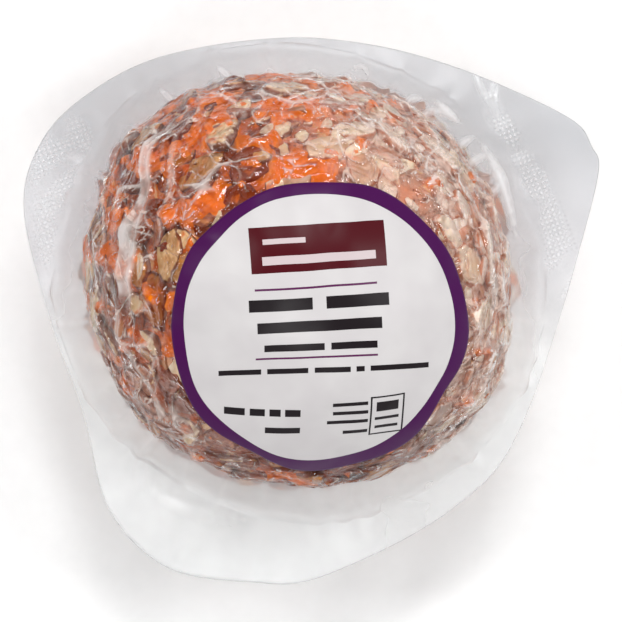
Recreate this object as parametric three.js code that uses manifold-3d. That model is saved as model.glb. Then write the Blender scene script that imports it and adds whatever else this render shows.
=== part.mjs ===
// A ball of cheddar cheese rolled in sliced almonds and sealed in a clear vacuum bag, with a round label.
// It lies on the small flat that the cheese has settled onto, label up. Millimetres, +Z up, and the
// origin is the middle of that flat. +Y is the top edge of the pack as it is read.
import * as THREE from "three";
import { mergeVertices } from "three/addons/utils/BufferGeometryUtils.js";
import Module from "manifold-3d";

const wasm = await Module();
wasm.setup();

// The bare cheese, before its almonds: a ball a little wider than it is high.
const cheese = {
  halfWidth: 41.1,
  halfHeight: 37,
  centreHeight: 35.4, // less than halfHeight, so that the underside is cut flat
  ovalShare: 0.036, // how far the plan departs from a circle
  ovalAzimuth: 155, // degrees, the long way of the oval
  lumpHeight: 0.75,
  splits: 6, // of each edge of the icosahedron that it is made from
};

// Broken slices of almond, pressed flat into the cheese.
const almonds = {
  places: 246,
  sides: 5,
  length: [7.6, 13],
  slimness: [0.55, 0.82], // width over length
  drawnIn: 0.28, // how much narrower the pointed end is
  reach: [0.86, 1.12], // of a corner, as a share of the slice's half size
  thickness: [1.3, 2.0],
  lift: [0, 0.6], // middle of the slice above the cheese
  tilt: 12, // degrees either way
  wander: 0.075, // how far a slice strays from its place, as a share of the radius
  calmWidth: 7, // slices this near the label lie flatter
  calmShare: 0.15,
  tuckUnder: 3, // how far the slices run in under the label
  seed: 20483,
};

// The round label. It bridges the almonds, so the ball is level with their tops under it.
const label = {
  radius: 29,
  thickness: 0.3,
  gap: 0.5,
  centre: [5.6, -12.2], // seen from above
  padRise: 1.9,
  padEdge: [0.5, 3], // past the label's edge, where the pad falls back to the cheese
  spokes: 40,
  rings: 5,
};

// The bag's free part: both films stand off the ball, meet at the seal and go on as a flat skirt.
const film = {
  height: 32.5, // of the seal
  thickness: 0.4,
  tentHalfHeight: 6.5,
  tentWidth: 5.6,
  ballGap: 0.35,
  almondReach: 2.5, // furthest that an almond stands above the cheese
  tentShares: [0.35, 0.7, 1], // of the way from the ball to the seal
  skirtShares: [0.35, 0.7, 1], // of the way from the seal to the cut edge
  sag: 2.4, // how far the far edges hang
  sagReach: 68, // from the ball's axis, where the full sag is
  ripple: 0.7,
  spokes: 80,
};

// The skirt's cut edge, clockwise from the top, seen from above.
const skirtPoints = [
  [0, 49],
  [26, 44.9],
  [52, 34.2],
  [58.8, 27.5],
  [59.3, 17],
  [45.2, -28.2],
  [31, -45.8],
  [5, -59.4],
  [-10, -60.6],
  [-27, -57.4],
  [-38.5, -45.5],
  [-43.6, -26],
  [-50, -8],
  [-55.4, 14],
  [-52.5, 27],
  [-43.5, 37],
  [-27, 45.4],
];

const radians = THREE.MathUtils.degToRad;
const ballCentre = new THREE.Vector3(0, 0, cheese.centreHeight);

// The label's own axes: out of the ball through its middle, and the two ways it lies.
const labelOut = new THREE.Vector3(
  label.centre[0],
  label.centre[1],
  cheese.halfHeight,
).normalize();
const labelRight = new THREE.Vector3(0, 1, 0).cross(labelOut).normalize();
const labelUp = labelOut.clone().cross(labelRight);

const drawFrom = ([low, high], random) => low + (high - low) * random();

// Numbers from 0 to 1, the same ones each run: a multiplicative generator modulo 2^31 - 1.
function seededRandom(seed) {
  const multiplier = 48271;
  const modulus = 2147483647;
  let state = seed;
  return () => {
    state = (state * multiplier) % modulus;
    return state / modulus;
  };
}

const smoothStep = (from, to, x) => THREE.MathUtils.smoothstep(x, from, to);

// Distance from the ball's centre to the bare cheese along a unit direction: an oval ellipsoid with
// broad lumps.
function cheeseRadius({ x, y, z }) {
  const azimuth = Math.atan2(y, x);
  const oval = 1 + cheese.ovalShare * Math.cos(2 * (azimuth - radians(cheese.ovalAzimuth)));
  const across = (x * x + y * y) / (cheese.halfWidth * oval) ** 2;
  const along = (z * z) / cheese.halfHeight ** 2;
  const lumps =
    Math.sin(3.1 * x + 1.3) * Math.cos(2.7 * y - 0.4) +
    0.6 * Math.sin(5.3 * y + 4.1 * z + 0.7) * Math.cos(4.7 * x - 2.2 * z);
  return 1 / Math.sqrt(across + along) + cheese.lumpHeight * lumps;
}

// Distance of a direction from the label's middle, flat across the label.
function fromLabel(direction) {
  const across = direction.clone().cross(labelOut).length() * cheeseRadius(direction);
  return direction.dot(labelOut) > 0 ? across : Infinity;
}

// The same distance as cheeseRadius, with the level of the almonds' tops under the label.
function paddedRadius(direction) {
  const [from, to] = label.padEdge;
  const past = smoothStep(label.radius + from, label.radius + to, fromLabel(direction));
  return cheeseRadius(direction) + label.padRise * (1 - past);
}

// A closed geometry as a manifold-3d solid.
function solidFrom(geometry) {
  const bare = geometry.clone();
  bare.deleteAttribute("normal");
  bare.deleteAttribute("uv");
  const merged = mergeVertices(bare, 1e-3);
  return new wasm.Manifold(
    new wasm.Mesh({
      numProp: 3,
      vertProperties: merged.attributes.position.array,
      triVerts: new Uint32Array(merged.index.array),
    }),
  );
}

// A manifold-3d solid as a three.js geometry.
function geometryFrom(solid) {
  const { vertProperties, triVerts } = solid.getMesh();
  const geometry = new THREE.BufferGeometry();
  geometry.setAttribute("position", new THREE.BufferAttribute(vertProperties, 3));
  geometry.setIndex(new THREE.BufferAttribute(triVerts, 1));
  geometry.computeVertexNormals();
  return geometry;
}

// The cheese: an icosahedron's faces split and pushed out to paddedRadius.
function makeCheese() {
  const geometry = new THREE.IcosahedronGeometry(1, cheese.splits);
  const positions = geometry.attributes.position;
  const point = new THREE.Vector3();
  for (let i = 0; i < positions.count; i++) {
    point.fromBufferAttribute(positions, i).normalize();
    point.multiplyScalar(paddedRadius(point)).add(ballCentre);
    positions.setXYZ(i, point.x, point.y, point.z);
  }
  return solidFrom(geometry);
}

// The outline of one broken slice: an oval with one end drawn in, as an almond's is, and uneven sides.
function sliceOutline(length, width, random) {
  const points = [];
  for (let k = 0; k < almonds.sides; k++) {
    const angle = (2 * Math.PI * (k + 0.5 * random())) / almonds.sides;
    const narrowing = 1 - almonds.drawnIn * Math.max(0, Math.cos(angle));
    const reach = drawFrom(almonds.reach, random);
    points.push(
      new THREE.Vector2(
        (length / 2) * reach * Math.cos(angle),
        (width / 2) * reach * narrowing * Math.sin(angle),
      ),
    );
  }
  return new THREE.Shape(points);
}

// Where a slice lies: tangent to the cheese, turned and tilted, with its middle a little above it.
function slicePlace(direction, spin, tiltOne, tiltTwo, lift) {
  const out = direction.clone();
  const reference = Math.abs(out.z) < 0.9 ? new THREE.Vector3(0, 0, 1) : new THREE.Vector3(1, 0, 0);
  const right = reference.cross(out).normalize();
  const up = out.clone().cross(right);
  const tangent = new THREE.Matrix4().makeBasis(right, up, out);
  const turned = new THREE.Matrix4().makeRotationFromEuler(
    new THREE.Euler(tiltOne, tiltTwo, spin, "XYZ"),
  );
  const place = out.multiplyScalar(cheeseRadius(direction) + lift).add(ballCentre);
  return tangent.multiply(turned).setPosition(place);
}

// Every almond slice. The places spread evenly over the ball by the golden angle, and each slice
// strays a little from its own. Those wholly hidden under the label are left out.
function makeSlices() {
  const random = seededRandom(almonds.seed);
  const goldenAngle = Math.PI * (3 - Math.sqrt(5));
  const slices = [];
  for (let i = 0; i < almonds.places; i++) {
    const level = 1 - (2 * i + 1) / almonds.places;
    const ring = Math.sqrt(1 - level * level);
    const azimuth = i * goldenAngle;
    const direction = new THREE.Vector3(
      ring * Math.cos(azimuth) + almonds.wander * (random() - 0.5),
      ring * Math.sin(azimuth) + almonds.wander * (random() - 0.5),
      level + almonds.wander * (random() - 0.5),
    ).normalize();
    const length = drawFrom(almonds.length, random);
    const width = length * drawFrom(almonds.slimness, random);
    const thickness = drawFrom(almonds.thickness, random);
    const toLabel = fromLabel(direction);
    const free = smoothStep(label.radius, label.radius + almonds.calmWidth, toLabel);
    const loose = almonds.calmShare + (1 - almonds.calmShare) * free;
    const lift = drawFrom(almonds.lift, random) * loose;
    const spin = 2 * Math.PI * random();
    const tiltOne = radians(almonds.tilt) * (2 * random() - 1) * loose;
    const tiltTwo = radians(almonds.tilt) * (2 * random() - 1) * loose;
    const outline = sliceOutline(length, width, random);
    if (toLabel < label.radius - almonds.tuckUnder) continue;
    const slab = new THREE.ExtrudeGeometry(outline, { depth: thickness, bevelEnabled: false });
    slab.translate(0, 0, -thickness / 2);
    slab.applyMatrix4(slicePlace(direction, spin, tiltOne, tiltTwo, lift));
    slices.push(solidFrom(slab));
  }
  return slices;
}

// The ball: the cheese and its almonds in one, cut flat underneath.
function makeBall() {
  const width = 3 * cheese.halfWidth;
  const depth = cheese.halfHeight / 2;
  const cutter = new THREE.BoxGeometry(width, width, depth).translate(0, 0, -depth / 2);
  const whole = wasm.Manifold.union([makeCheese(), ...makeSlices()]).subtract(solidFrom(cutter));
  const [largest] = whole.decompose().sort((a, b) => b.volume() - a.volume());
  return geometryFrom(largest);
}

// A point above the label's place: right and up are measured flat across it, and clearance is its
// height above the ball.
function onLabel(right, up, clearance) {
  let height = cheese.halfHeight;
  const offset = new THREE.Vector3();
  const rounds = 8;
  for (let i = 0; i < rounds; i++) {
    offset.set(0, 0, 0);
    offset.addScaledVector(labelRight, right);
    offset.addScaledVector(labelUp, up);
    offset.addScaledVector(labelOut, height);
    const reach = paddedRadius(offset.clone().normalize()) + clearance;
    height = Math.sqrt(reach * reach - right * right - up * up);
  }
  return offset.add(ballCentre);
}

// A closed geometry from rings of points, each ring as long as the last. closed joins the last ring
// to the first. Otherwise both ends are capped by a fan to the given end points.
function loft(rings, closed, endPoints = []) {
  const count = rings[0].length;
  const points = [...rings.flat(), ...endPoints];
  const faces = [];
  const last = closed ? rings.length : rings.length - 1;
  for (let r = 0; r < last; r++) {
    const here = r * count;
    const there = ((r + 1) % rings.length) * count;
    for (let k = 0; k < count; k++) {
      const next = (k + 1) % count;
      faces.push(here + k, here + next, there + next, here + k, there + next, there + k);
    }
  }
  if (!closed) {
    const first = rings.length * count;
    const final = (rings.length - 1) * count;
    for (let k = 0; k < count; k++) {
      const next = (k + 1) % count;
      faces.push(first, next, k, first + 1, final + k, final + next);
    }
  }
  const geometry = new THREE.BufferGeometry().setFromPoints(points);
  geometry.setIndex(faces);
  geometry.computeVertexNormals();
  return geometry;
}

// The label: a thin round skin with the ball's curve.
function makeLabel() {
  const ringAt = (radius, clearance) =>
    Array.from({ length: label.spokes }, (_, k) => {
      const angle = (2 * Math.PI * k) / label.spokes;
      return onLabel(radius * Math.cos(angle), radius * Math.sin(angle), clearance);
    });
  const radii = Array.from({ length: label.rings }, (_, r) => (label.radius * (r + 1)) / label.rings);
  const under = radii.map((radius) => ringAt(radius, label.gap));
  const over = radii.map((radius) => ringAt(radius, label.gap + label.thickness)).reverse();
  const middles = [onLabel(0, 0, label.gap), onLabel(0, 0, label.gap + label.thickness)];
  return loft([...under, ...over], false, middles);
}

// Furthest reach of the almonds from the ball's axis, at a height above or below its centre.
function ballReach(azimuth, heightAboveCentre) {
  let reach = cheese.halfWidth;
  const direction = new THREE.Vector3();
  const rounds = 6;
  for (let i = 0; i < rounds; i++) {
    direction.set(reach * Math.cos(azimuth), reach * Math.sin(azimuth), heightAboveCentre);
    const radius = cheeseRadius(direction.normalize()) + film.almondReach;
    reach = Math.sqrt(radius ** 2 - heightAboveCentre ** 2);
  }
  return reach;
}

// The skirt hangs a little towards its far edges, with a slow ripple round it.
function skirtHeight(x, y) {
  const reach = Math.hypot(x, y);
  const out = smoothStep(cheese.halfWidth, film.sagReach, reach);
  const azimuth = Math.atan2(y, x);
  const ripple = Math.sin(3 * azimuth + 0.6) + 0.6 * Math.sin(5 * azimuth - 1.1);
  return film.height - film.sag * out + film.ripple * ripple * out;
}

// The film: for each spoke, one section from the ball out over the tent to the cut edge and back
// underneath, joined up round the ball.
function makeFilm() {
  const edge = new THREE.CatmullRomCurve3(
    skirtPoints.map(([x, y]) => new THREE.Vector3(x, y, 0)),
    true,
    "catmullrom",
    0.5,
  );
  const half = film.thickness / 2;
  const { tentShares, skirtShares } = film;
  const section = (k) => {
    const rim = edge.getPoint(k / film.spokes);
    const azimuth = Math.atan2(rim.y, rim.x);
    const outward = new THREE.Vector3(Math.cos(azimuth), Math.sin(azimuth), 0);
    const sealAt = ballReach(azimuth, 0) + film.ballGap + film.tentWidth;
    const rimAt = Math.hypot(rim.x, rim.y);
    const point = (reach, height) => outward.clone().multiplyScalar(reach).setZ(height);
    const foot = (rise) => {
      const height = film.height + rise;
      return point(ballReach(azimuth, height - cheese.centreHeight) + film.ballGap, height);
    };
    const tent = (share, side) => {
      const start = foot(side * film.tentHalfHeight);
      const reach = Math.hypot(start.x, start.y);
      const falling = (1 - share) ** 2; // steep off the ball, then flat into the seal
      const rise = half + (film.tentHalfHeight - half) * falling;
      return point(reach + (sealAt - reach) * share, film.height + side * rise);
    };
    const skirt = (share, side) => {
      const at = point(sealAt + (rimAt - sealAt) * share, 0);
      return at.setZ(skirtHeight(at.x, at.y) + side * half);
    };
    return [
      foot(-film.tentHalfHeight),
      ...tentShares.map((share) => tent(share, -1)),
      ...skirtShares.map((share) => skirt(share, -1)),
      ...skirtShares.map((share) => skirt(share, 1)).reverse(),
      ...tentShares.map((share) => tent(share, 1)).reverse(),
      foot(film.tentHalfHeight),
      foot(0),
    ];
  };
  return loft(Array.from({ length: film.spokes }, (_, k) => section(k)), true);
}

// One named piece with its own material.
function piece(name, geometry, finish) {
  const mesh = new THREE.Mesh(geometry, new THREE.MeshStandardMaterial(finish));
  mesh.name = name;
  return mesh;
}

const pack = new THREE.Group();
pack.add(
  piece("cheese_ball", makeBall(), { color: 0xc88a5c, roughness: 0.35, metalness: 0 }),
  piece("sealed_film", makeFilm(), {
    color: 0xe4e4e6,
    roughness: 0.12,
    metalness: 0,
    transparent: true,
    opacity: 0.3,
  }),
  piece("label", makeLabel(), { color: 0xe9e6e4, roughness: 0.25, metalness: 0 }),
);

export default pack;
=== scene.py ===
# A ball of cheddar rolled in sliced almonds, vacuum-packed in clear film with a round label on top.
import math
from functools import partial

import bpy
import numpy as np
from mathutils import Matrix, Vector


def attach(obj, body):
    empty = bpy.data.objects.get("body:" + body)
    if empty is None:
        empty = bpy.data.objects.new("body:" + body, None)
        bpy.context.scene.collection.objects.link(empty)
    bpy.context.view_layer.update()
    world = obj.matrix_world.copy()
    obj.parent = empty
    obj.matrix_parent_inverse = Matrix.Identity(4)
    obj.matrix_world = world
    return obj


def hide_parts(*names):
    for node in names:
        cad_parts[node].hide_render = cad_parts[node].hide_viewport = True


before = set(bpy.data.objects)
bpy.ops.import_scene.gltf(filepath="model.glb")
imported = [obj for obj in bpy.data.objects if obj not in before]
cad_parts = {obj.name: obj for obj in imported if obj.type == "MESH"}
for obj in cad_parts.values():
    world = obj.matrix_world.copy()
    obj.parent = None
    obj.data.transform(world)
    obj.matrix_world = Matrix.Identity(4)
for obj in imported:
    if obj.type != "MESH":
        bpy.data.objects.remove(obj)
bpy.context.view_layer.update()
mm = 0.001

# The ball as the solids have it, in millimetres. Its centre stands over the origin.
ball = {
    "halfWidth": 41.1,
    "halfHeight": 37.0,
    "centreHeight": 35.4,
    "ovalShare": 0.036,
    "ovalAzimuth": math.radians(155),
    "lumpHeight": 0.75,
    "relief": 0.55,  # of the cheese squeezed up between the almonds
}
sticker = {
    "radius": 29.0,
    "centre": (5.6, -12.2),
    "rest": 2.05,  # height of its underside over the bare cheese
    "thickness": 0.14,
    "pleat": 0.9,  # flat paper on a ball gathers at its edge
    "bump": 0.08,
    # its cut edge and the ring's inner edge, pulled out of round: mean radius, then waves round it
    # as their count, size and phase
    "cutEdge": (28.7, [(1, 0.34, -3.0), (2, 0.37, 2.83), (3, 0.4, -1.8), (4, 0.21, -0.86), (5, 0.32, 0.15),
                       (7, 0.22, -0.53), (8, 0.24, 0.97), (9, 0.24, 1.8)]),
    "ringEdge": (26.2, [(1, 0.91, -2.58), (2, 0.4, -3.07), (3, 0.33, -1.36), (4, 0.15, -0.51),
                        (5, 0.11, 0.5), (7, 0.13, -0.32), (8, 0.14, 1.73)]),
}
ballCentre = np.array([0.0, 0.0, ball["centreHeight"]])


# Vectors divided by their lengths.
def unit(vectors):
    return vectors / np.linalg.norm(vectors, axis=-1, keepdims=True)


labelOut = unit(np.array([*sticker["centre"], ball["halfHeight"]]))
labelRight = unit(np.cross([0.0, 1.0, 0.0], labelOut))
labelUp = np.cross(labelOut, labelRight)


# 0 below low and 1 above high, with 3s^2 - 2s^3 of the share s between.
def smoothStep(low, high, x):
    share = np.clip((x - low) / (high - low), 0, 1)
    return share * share * (3 - 2 * share)


# Distance from the ball's centre to the bare cheese: an oval ellipsoid with two broad sine lumps.
def cheeseRadius(way):
    x, y, z = np.moveaxis(way, -1, 0)
    oval = 1 + ball["ovalShare"] * np.cos(2 * (np.arctan2(y, x) - ball["ovalAzimuth"]))
    across = (x * x + y * y) / (ball["halfWidth"] * oval) ** 2
    along = z * z / ball["halfHeight"] ** 2
    lumps = np.sin(3.1 * x + 1.3) * np.cos(2.7 * y - 0.4)
    lumps += 0.6 * np.sin(5.3 * y + 4.1 * z + 0.7) * np.cos(4.7 * x - 2.2 * z)
    return 1 / np.sqrt(across + along) + ball["lumpHeight"] * lumps


# Distance from the label's middle, flat across the label. Far away on the other half.
def fromLabel(way):
    across = np.linalg.norm(np.cross(way, labelOut), axis=-1) * cheeseRadius(way)
    return np.where(way @ labelOut > 0, across, 1000.0)


# A smooth random field: a sum of plane waves of about one wavelength, in random directions.
def waveField(points, wavelength, seed, count=20):
    rng = np.random.default_rng(seed)
    ways = unit(rng.normal(size=(count, points.shape[-1])))
    turns = ways * (2 * np.pi / wavelength) * rng.uniform(0.7, 1.4, (count, 1))
    phases = rng.uniform(0, 2 * np.pi, count)
    return np.cos(points @ turns.T + phases).sum(-1) / math.sqrt(count / 2)


# Thin lines where a smooth random field crosses zero: 1 on the line, 0 past its half width.
def lineField(points, wavelength, width, seed):
    field = waveField(points, wavelength, seed)
    slope = 2 * np.pi / wavelength
    return np.clip(1 - np.abs(field) / (slope * width), 0, 1)


# Directions on a grid: rows of polar angle from +Z, columns of azimuth, counter-clockwise from above.
def wayGrid(polar, azimuth):
    polar, azimuth = np.meshgrid(polar, azimuth, indexing="ij")
    return np.stack([np.sin(polar) * np.cos(azimuth), np.sin(polar) * np.sin(azimuth), np.cos(polar)], -1)


# An object from points in millimetres, faces, and attributes with one or three numbers to a point.
def meshFrom(name, points, faces, attributes=None):
    mesh = bpy.data.meshes.new(name)
    mesh.from_pydata((points * mm).tolist(), [], faces)
    mesh.polygons.foreach_set("use_smooth", np.ones(len(faces), bool))
    for title, values in (attributes or {}).items():
        kind, field = ("FLOAT", "value") if values.ndim == 1 else ("FLOAT_VECTOR", "vector")
        mesh.attributes.new(title, kind, "POINT").data.foreach_set(field, values.astype(np.float32).ravel())
    mesh.update()
    piece = bpy.data.objects.new(name, mesh)
    bpy.context.scene.collection.objects.link(piece)
    return piece


# A mesh from rows by columns of points. The columns join up in a ring. A first or last row that has
# shrunk to a pole becomes one point with a fan.
def gridMesh(name, points, attributes=None, firstPole=False, lastPole=False):
    rows, columns = points.shape[:2]
    index = np.arange(rows * columns).reshape(rows, columns)
    first, last = (1 if firstPole else 0), (rows - 1 if lastPole else rows)
    body = index[first:last]
    here, along = body[:-1], np.roll(body[:-1], -1, axis=1)
    below, across = body[1:], np.roll(body[1:], -1, axis=1)
    faces = np.stack([here, below, across, along], -1).reshape(-1, 4).tolist()
    flat = points.reshape(-1, 3)
    kept = np.ones(rows * columns, bool)
    if firstPole:
        ring = index[1]
        faces += np.stack([np.full(columns, index[0, 0]), ring, np.roll(ring, -1)], -1).tolist()
        kept[index[0, 1:]] = False
    if lastPole:
        ring = index[-2]
        faces += np.stack([ring, np.full(columns, index[-1, 0]), np.roll(ring, -1)], -1).tolist()
        kept[index[-1, 1:]] = False
    number = np.cumsum(kept) - 1
    faces = [[int(number[i]) for i in face] for face in faces] if firstPole or lastPole else faces
    made = {k: v.reshape(rows * columns, *v.shape[2:])[kept] for k, v in (attributes or {}).items()}
    return meshFrom(name, flat[kept], faces, made)


# Gives a piece its material, hangs it under the root body, and hides the node of the solids it stands for.
def finishPiece(piece, node, material):
    piece.data.materials.append(material)
    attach(piece, "root")
    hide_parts(node)


# One function for every shader node: inputs maps a socket to a value, an sRGB hex colour, a node's
# output, or a node, whose first output it takes. Stops are a colour ramp's positions and colours.
def addNode(tree, kind, inputs=None, stops=None, **settings):
    node = tree.nodes.new("ShaderNode" + kind)
    for name, value in settings.items():
        setattr(node, name, value)
    if stops:
        ramp = node.color_ramp
        while len(ramp.elements) < len(stops):
            ramp.elements.new(1.0)
        for element, (position, colour) in zip(ramp.elements, stops):
            element.position = position
            element.color = linear(colour) if isinstance(colour, str) else colour
    for socket, value in (inputs or {}).items():
        source = value.outputs[0] if isinstance(value, bpy.types.Node) else value
        if isinstance(source, bpy.types.NodeSocket):
            tree.links.new(source, node.inputs[socket])
        else:
            node.inputs[socket].default_value = linear(source) if isinstance(source, str) else source
    return node


# Scale of a noise on metres whose lumps are this many millimetres across.
def lumpScale(size):
    return 1 / (size * mm)


# An sRGB hex colour as the linear colour that shaders take.
def linear(hexColour):
    parts = np.array([int(hexColour[i:i + 2], 16) / 255 for i in (1, 3, 5)])
    straight = np.where(parts <= 0.04045, parts / 12.92, ((parts + 0.055) / 1.055) ** 2.4)
    return (*straight.tolist(), 1.0)


# A material with an empty node tree, and addNode for that tree.
def newMaterial(name):
    material = bpy.data.materials.new(name)
    material.use_nodes = True
    material.node_tree.nodes.clear()
    return material, partial(addNode, material.node_tree)


# Almond slices

slices = {
    "places": 246,
    "sides": 5,
    "length": (7.6, 13.0),
    "slimness": (0.55, 0.82),
    "drawnIn": 0.28,  # of the width at one end
    "reach": (0.86, 1.12),
    "corner": 0.98,  # share of the solids' corners, and of the middles between them
    "bulge": 1.1,
    "thickness": (1.3, 2.0),
    "lift": (0.0, 0.6),
    "tilt": math.radians(12),
    "wander": 0.075,
    "calmWidth": 7.0,  # band round the label where slices lie flatter, down to the share
    "calmShare": 0.15,
    "tuckUnder": 3.0,
    "sag": 0.35,  # share of the ball's curve that a slice follows
    "seed": 20483,
    # down its side, from the middle of its top to the middle of its underside: share of the outline,
    # height as a share of the thickness, and share of skin
    "profile": [(0.0, 0.5, 0.0), (0.82, 0.5, 0.8), (1.0, 0.12, 1.0), (0.96, -0.5, 1.0), (0.0, -0.5, 0.6)],
}
chips = {
    "places": 560,
    "turn": 0.4,  # in radians, from the large slices' places
    "sides": 7,
    "length": (3.6, 8.4),
    "slimness": (0.45, 0.85),
    "reach": (0.8, 1.15),
    "thickness": (0.6, 1.2),
    "lift": (0.0, 0.7),
    "tilt": math.radians(16),
    "wander": 0.05,
    "calmWidth": 4,
    "calmShare": 0.3,
    "tuckUnder": 1.5,
    "seed": 77,
}


# Numbers from 0 to 1 in the same order as the solids draw them.
def seededRandom(seed):
    state = seed
    while True:
        state = state * 48271 % 2147483647
        yield state / 2147483647


# Axes of a slice that lies on the ball: tangent to it, tilted, and spun about its own normal.
def sliceAxes(way, spin, tiltOne, tiltTwo):
    reference = np.array([0.0, 0.0, 1.0]) if abs(way[2]) < 0.9 else np.array([1.0, 0.0, 0.0])
    right = unit(np.cross(reference, way))
    tangent = np.column_stack([right, np.cross(way, right), way])
    c1, s1, c2, s2 = math.cos(tiltOne), math.sin(tiltOne), math.cos(tiltTwo), math.sin(tiltTwo)
    c3, s3 = math.cos(spin), math.sin(spin)
    aboutX = np.array([[1, 0, 0], [0, c1, -s1], [0, s1, c1]])
    aboutY = np.array([[c2, 0, s2], [0, 1, 0], [-s2, 0, c2]])
    aboutZ = np.array([[c3, -s3, 0], [s3, c3, 0], [0, 0, 1]])
    return tangent @ aboutX @ aboutY @ aboutZ


# The large slices, one for one where the solids have them, with a bulge in the middle of each side.
def placeSlices():
    draws = seededRandom(slices["seed"])

    def between(limits):
        return limits[0] + (limits[1] - limits[0]) * next(draws)

    found = []
    for i in range(slices["places"]):
        level = 1 - (2 * i + 1) / slices["places"]
        ring = math.sqrt(1 - level * level)
        azimuth = i * math.pi * (3 - math.sqrt(5))
        middle = (ring * math.cos(azimuth), ring * math.sin(azimuth), level)
        way = unit(np.array([v + slices["wander"] * (next(draws) - 0.5) for v in middle]))
        length = between(slices["length"])
        width = length * between(slices["slimness"])
        thickness = between(slices["thickness"])
        toLabel = float(fromLabel(way))
        free = float(smoothStep(sticker["radius"], sticker["radius"] + slices["calmWidth"], toLabel))
        loose = slices["calmShare"] + (1 - slices["calmShare"]) * free
        lift = between(slices["lift"]) * loose
        spin = 2 * math.pi * next(draws)
        tiltOne = slices["tilt"] * (2 * next(draws) - 1) * loose
        tiltTwo = slices["tilt"] * (2 * next(draws) - 1) * loose
        corners = []
        for k in range(slices["sides"]):
            angle = 2 * math.pi * (k + 0.5 * next(draws)) / slices["sides"]
            narrowing = 1 - slices["drawnIn"] * max(0, math.cos(angle))
            reach = between(slices["reach"])
            corners.append((length / 2 * reach * math.cos(angle),
                            width / 2 * reach * narrowing * math.sin(angle)))
        if toLabel < sticker["radius"] - slices["tuckUnder"]:
            continue
        corners = np.array(corners)
        sides = (corners + np.roll(corners, -1, axis=0)) / 2 * slices["bulge"]
        place = way * (float(cheeseRadius(way)) + lift)
        outline = np.stack([corners * slices["corner"], sides], 1).reshape(-1, 2)
        found.append((way, place, sliceAxes(way, spin, tiltOne, tiltTwo), outline, thickness))
    return found


# Smaller broken pieces between and on the slices, spread by the golden angle as they are.
def placeChips():
    rng = np.random.default_rng(chips["seed"])
    found = []
    for i in range(chips["places"]):
        level = 1 - (2 * i + 1) / chips["places"]
        ring = math.sqrt(1 - level * level)
        azimuth = i * math.pi * (3 - math.sqrt(5)) + chips["turn"]
        middle = np.array([ring * math.cos(azimuth), ring * math.sin(azimuth), level])
        way = unit(middle + rng.uniform(-chips["wander"], chips["wander"], 3))
        length = rng.uniform(*chips["length"])
        width = length * rng.uniform(*chips["slimness"])
        thickness = rng.uniform(*chips["thickness"])
        lift = rng.uniform(*chips["lift"])
        spin, one, two = rng.uniform(0, 2 * math.pi), rng.uniform(-1, 1), rng.uniform(-1, 1)
        corners = np.arange(chips["sides"]) + rng.uniform(0, 0.6, chips["sides"])
        angles = 2 * np.pi * corners / chips["sides"]
        reach = rng.uniform(*chips["reach"], chips["sides"]) / 2
        outline = np.stack([length * reach * np.cos(angles), width * reach * np.sin(angles)], -1)
        toLabel = float(fromLabel(way))
        if toLabel < sticker["radius"] - chips["tuckUnder"]:
            continue
        near = float(smoothStep(sticker["radius"] + chips["calmWidth"], sticker["radius"], toLabel))
        loose = 1 - (1 - chips["calmShare"]) * near
        place = way * (float(cheeseRadius(way)) + lift * loose)
        tilt = chips["tilt"] * loose
        found.append((way, place, sliceAxes(way, spin, tilt * one, tilt * two), outline, thickness))
    return found


# Where the coat changes, as the label is read: a direction, and the cosines from it where the side
# begins and is full. To the right and a little at the lower left the slices are paler and the film
# milkier, partly pale slices and trapped fat, partly painted sheen. Below the label the slices are
# browner and the film has less haze and whitening, painted shade, and above it there are fewer brown
# skins.
coatSides = {
    "right": ((0.9, 0.35, 0.0), -0.1, 0.75),
    "lowerLeft": ((-0.7, -0.7, 0.1), 0.65, 0.95),
    "below": ((0.0, -1.0, 0.0), 0.68, 0.92),
    "above": ((-0.2, 1.0, 0.2), 0.3, 0.9),
    "upperLeft": ((-0.5, 0.8, 0.3), 0.0, 0.95),  # where most of the cheese is smeared
}


# 1 on the side that has this name, 0 away from it, eased between its two cosines.
def onSide(name, way):
    direction, begins, full = coatSides[name]
    return smoothStep(begins, full, way @ unit(np.array(direction)))


# The larger of the right side and a fifth of the lower left: pale slices and trapped fat there, partly
# painted sheen.
def paleSheenShare(way):
    return np.maximum(onSide("right", way), 0.2 * onSide("lowerLeft", way))


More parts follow.
